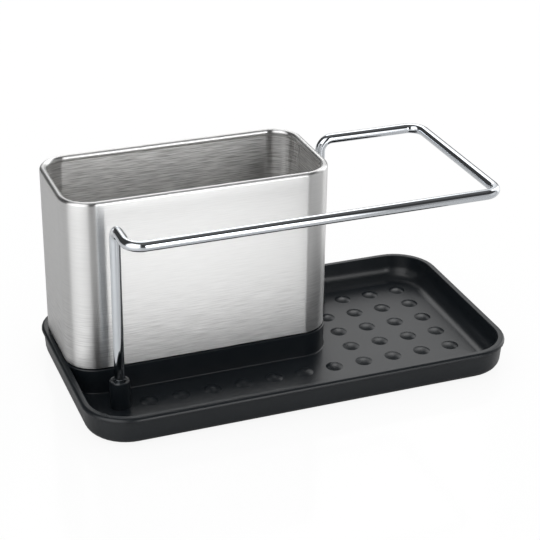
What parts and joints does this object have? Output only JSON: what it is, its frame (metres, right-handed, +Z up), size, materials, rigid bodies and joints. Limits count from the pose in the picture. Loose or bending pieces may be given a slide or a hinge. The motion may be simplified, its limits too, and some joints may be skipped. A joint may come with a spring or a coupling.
{
  "type": "kitchen sink caddy",
  "caption": "Sink caddy: moulded black tray with drip nubs, a rounded brushed-steel utensil holder on a plinth, and a bent chrome wire towel rail that plugs into sockets.",
  "frame": {"origin": "under the middle of the tray, on the plane of the feet's undersides", "axes": "+X along the tray, away from the holder's end; +Y to the rear; +Z up"},
  "size_m": [0.215, 0.1164, 0.1012],
  "materials": {
    "tray_plastic": "black satin moulded plastic",
    "holder_steel": "brushed along its length",
    "rail_chrome": "polished chrome plate",
    "foot_rubber": "matt black"
  },
  "bodies": {
    "tray": {"tray": "tray_plastic", "foot_front_left": "foot_rubber", "foot_front_right": "foot_rubber", "foot_rear_left": "foot_rubber", "foot_rear_right": "foot_rubber"},
    "holder": {"holder_sleeve": "holder_steel", "holder_bottom": "holder_steel"},
    "rail": {"towel_rail": "rail_chrome"}
  },
  "joints": [
    {"name": "holder_lift", "type": "slide", "parent": "tray", "child": "holder", "axis": [0, 0, 1], "range_m": [0, 0.1]},
    {"name": "rail_lift", "type": "slide", "parent": "tray", "child": "rail", "axis": [0, 0, 1], "range_m": [0, 0.1]}
  ]
}
